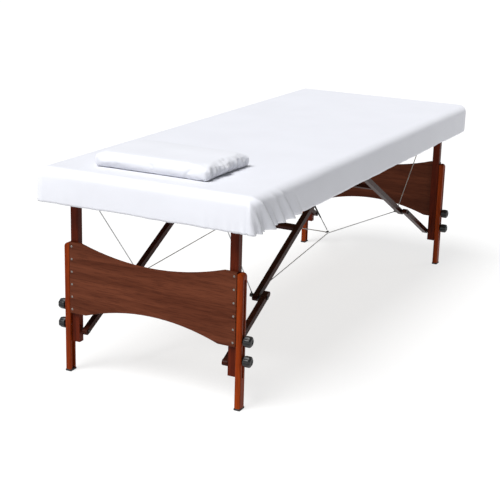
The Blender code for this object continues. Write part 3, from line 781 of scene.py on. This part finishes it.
def brace_hardware(end, side):
    """The nut on the outside of the lower brace at the knee, and the pin that joins it to the leg."""
    tag = f"{end}_{side}"
    low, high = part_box(f"knee_bolt_{tag}")
    knee_x, knee_z = (low[0] + high[0]) / 2, (low[2] + high[2]) / 2
    nut(f"knee_nut_{tag}", knee_x, knee_z, SIDES[side], BRACE_OUTSIDE, f"lower_brace_{tag}")
    bm = bmesh.new()
    place = facing_y(ENDS[end] * LEG_PIN[0], LEG_PIN[1], SIDES[side])
    shaft = 0.0029
    turned(bm, [(0, 0.2375), (shaft, 0.2375), (shaft, 0.2628), (0, 0.2628)], 16, place)
    profile, sides = hex_head(0.0060, 0.0030)
    turned(bm, profile, sides, place @ Matrix.Translation((0, 0, 0.2370)))
    turned(bm, [(0, 0), (0.0080, 0), (0.0080, 0.0040), (0, 0.0040)], 24,
           place @ Matrix.Translation((0, 0, 0.2588)))
    bmesh.ops.recalc_face_normals(bm, faces=bm.faces)
    pin = new_piece(f"leg_pin_{tag}", bm, BLACK_STEEL, sharp=30)
    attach(pin, f"legs_{end}")


def rubber_foot(end, side):
    """A thin rubber boot round the lower end of each leg."""
    low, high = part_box(f"extension_{end}_{side}")
    bm = bmesh.new()
    bmesh.ops.create_cube(bm, size=1.0)
    size = Vector((high[0] - low[0] + 2 * BOOT_WALL, high[1] - low[1] + 2 * BOOT_WALL, BOOT_HEIGHT))
    bmesh.ops.scale(bm, vec=size, verts=bm.verts)
    centre = Vector(((low[0] + high[0]) / 2, (low[1] + high[1]) / 2, low[2] + BOOT_HEIGHT / 2))
    bmesh.ops.translate(bm, vec=centre, verts=bm.verts)
    bmesh.ops.bevel(bm, geom=list(bm.edges), offset=0.0018, segments=3, profile=0.5, affect="EDGES")
    piece = new_piece(f"rubber_foot_{end}_{side}", bm, RUBBER, sharp=50)
    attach(piece, f"extension_{end}_{side}")


# ---------------------------------------------------------------- cables

def wire_rope(name, route, bodies, replaced, spacing=CABLE_SPACING):
    """A wire rope that stands in for CAD cables, and rides one body; with two bodies it stays fixed where it
    is built.
    """
    points = even_points(route, spacing)
    bm = bmesh.new()
    tube(bm, points, [CABLE_RADIUS] * len(points), 12)
    bmesh.ops.recalc_face_normals(bm, faces=bm.faces)
    piece = new_piece(name, bm, WIRE, sharp=60)
    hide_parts(replaced)
    if len(bodies) == 1:
        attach(piece, bodies[0])
    else:
        tuple(route[0])
        tuple(route[-1])
        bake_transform(piece)


def sleeve(name, start, finish, radii, material, body):
    """A crimped or moulded sleeve on a cable, with a radius at evenly spaced places."""
    points = [start.lerp(finish, i / (len(radii) - 1)) for i in range(len(radii))]
    bm = bmesh.new()
    tube(bm, points, radii, 16)
    bmesh.ops.recalc_face_normals(bm, faces=bm.faces)
    piece = new_piece(name, bm, material, sharp=35)
    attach(piece, body)


def along(start, finish, distance):
    return start + (finish - start).normalized() * distance


def leg_and_side_cables(end, side):
    tag = f"{end}_{side}"
    sign, lean = ENDS[end], SIDES[side]
    low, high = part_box(f"knee_bolt_{tag}")
    knee = Vector(((low[0] + high[0]) / 2, lean * CABLE_Y_AT_KNEE, (low[2] + high[2]) / 2))
    rod_low, rod_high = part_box(f"leg_rod_{end}")
    rod = Vector(((rod_low[0] + rod_high[0]) / 2, lean * LEG_CABLE_Y, (rod_low[2] + rod_high[2]) / 2))
    upper, body = f"upper_brace_{end}", f"frame_{end}"
    top, bottom = along(rod, knee, CABLE_FROM_ROD), along(knee, rod, CABLE_FROM_BOLT)
    wire_rope(f"leg_wire_{tag}", [top, bottom], (body, upper), f"leg_cable_{tag}")
    sleeve(f"leg_wire_ferrule_{tag}", bottom, along(knee, rod, LEG_FERRULE_END), FERRULE,
           BLACK_STEEL, upper)
    yoke_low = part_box("yoke_cable")[0]
    yoke = Vector((sign * 0.0006, lean * YOKE_CORNER_Y, yoke_low[2] + CABLE_RADIUS - SIDE_CABLE_UNDER))
    start = along(knee, yoke, CABLE_FROM_BOLT)
    wire_rope(f"side_wire_{tag}", [start, yoke], (upper, body), f"side_cable_{side}")
    sleeve(f"side_wire_ferrule_{tag}", start, along(knee, yoke, SIDE_FERRULE_END), FERRULE,
           BLACK_STEEL, upper)
    eye(tag, knee, lean, upper)


def eye(tag, knee, lean, body):
    """The pressed ring on the knee bolt that both cables end in."""
    bore, rim, near, far = 0.0034, 0.0066, 0.2062, 0.2108
    bm = bmesh.new()
    place = facing_y(knee.x, knee.z, lean)
    turned(bm, [(bore, near), (rim, near), (rim, far), (bore, far), (bore, near)], 24, place)
    bmesh.ops.recalc_face_normals(bm, faces=bm.faces)
    piece = new_piece(f"cable_eye_{tag}", bm, BLACK_STEEL, sharp=35)
    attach(piece, body)


def yoke():
    """The cable that hangs from the middle of the table and ties the two side cables together."""
    low, high = (Vector(c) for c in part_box("yoke_cable"))
    z, top_z = low.z + CABLE_RADIUS, high.z
    top_x = low.x + CABLE_RADIUS
    tops = {s: Vector((top_x, lean * YOKE_TOP_Y, top_z)) for s, lean in SIDES.items()}
    corners = {s: Vector((0, lean * YOKE_CORNER_Y, z + YOKE_RISE)) for s, lean in SIDES.items()}
    turns = {s: Vector((0, lean * (YOKE_CORNER_Y - YOKE_TURN), z)) for s, lean in SIDES.items()}
    route = [tops["left"], corners["left"], turns["left"], turns["right"], corners["right"], tops["right"]]
    wire_rope("yoke_wire", route, ("frame_head",), "yoke_cable", 0.008)
    for side in SIDES:
        corner, top = corners[side], tops[side]
        sleeve(f"hanger_sleeve_{side}", corner.lerp(top, 0.20), corner.lerp(top, 0.97), HANGER_SLEEVE,
               RUBBER, "frame_head")
        sleeve(f"yoke_hook_{side}", along(corner, turns[side], -0.0035), along(corner, turns[side], 0.010),
               YOKE_HOOK, BLACK_STEEL, "frame_head")


# ---------------------------------------------------------------- stage

def camera():
    az, el, roll = CAMERA_AZIMUTH, CAMERA_ELEVATION, CAMERA_ROLL
    back = Vector((math.sin(az) * math.cos(el), -math.cos(az) * math.cos(el), math.sin(el)))
    right = (-back).cross(Vector((0, 0, 1))).normalized()
    up = right.cross(-back)
    level_x = math.cos(roll) * right + math.sin(roll) * up
    level_y = -math.sin(roll) * right + math.cos(roll) * up
    data = bpy.data.cameras.new("camera")
    data.sensor_width = 36.0
    data.lens = CAMERA_LENS
    data.clip_end = 100
    obj = link(bpy.data.objects.new("camera", data))
    turn = Matrix((level_x, level_y, back)).transposed().to_4x4()
    obj.matrix_world = Matrix.Translation(CAMERA_PLACE) @ turn
    bpy.context.scene.camera = obj


def stage():
    shader = Shader("pale_floor", 0.9)
    shader.bsdf.inputs["Base Color"].default_value = (FLOOR_SHADE, FLOOR_SHADE, FLOOR_SHADE, 1)
    shader.bsdf.inputs["Specular IOR Level"].default_value = 0.0
    shader.bsdf.inputs["Emission Color"].default_value = (1, 1, 1, 1)
    shader.bsdf.inputs["Emission Strength"].default_value = FLOOR_GLOW
    bm = bmesh.new()
    bmesh.ops.create_grid(bm, x_segments=1, y_segments=1, size=40)
    floor = new_piece("studio_floor", bm, shader.material, smooth=False)
    floor.location.z = -0.0005
    world = bpy.data.worlds.new("studio")
    world.use_nodes = True
    background = world.node_tree.nodes["Background"]
    background.inputs["Color"].default_value = (0.96, 0.97, 1.0, 1)
    background.inputs["Strength"].default_value = SKY_STRENGTH
    bpy.context.scene.world = world
    bpy.context.scene.view_settings.view_transform = "Standard"


def key_sun():
    """The main light, soft, from above the head end."""
    data = bpy.data.lights.new("key", "SUN")
    data.angle = math.radians(SUN_SOFTNESS)
    data.energy = SUN_POWER
    obj = link(bpy.data.objects.new("key", data))
    obj.rotation_euler = Vector(SUN_TOWARDS).to_track_quat("Z", "Y").to_euler()


def far_fill():
    """A weak light beyond the foot end, for the long side."""
    data = bpy.data.lights.new("fill", "AREA")
    data.size = FILL_SIZE
    data.energy = FILL_POWER
    obj = link(bpy.data.objects.new("fill", data))
    obj.location = FILL_PLACE
    obj.rotation_euler = (Vector(FILL_PLACE) - Vector(FILL_TARGET)).to_track_quat("Z", "Y").to_euler()


def build():
    camera()
    stage()
    key_sun()
    far_fill()
    paint_frame()
    fitted_sheet()
    pillow()
    for end in ENDS:
        pad_cover(end)
        for side in SIDES:
            for level in ("upper", "lower"):
                knob(end, side, level)
            panel_screws(end, side)
            brace_hardware(end, side)
            rubber_foot(end, side)
            leg_and_side_cables(end, side)
    yoke()


build()
bpy.context.view_layer.update()
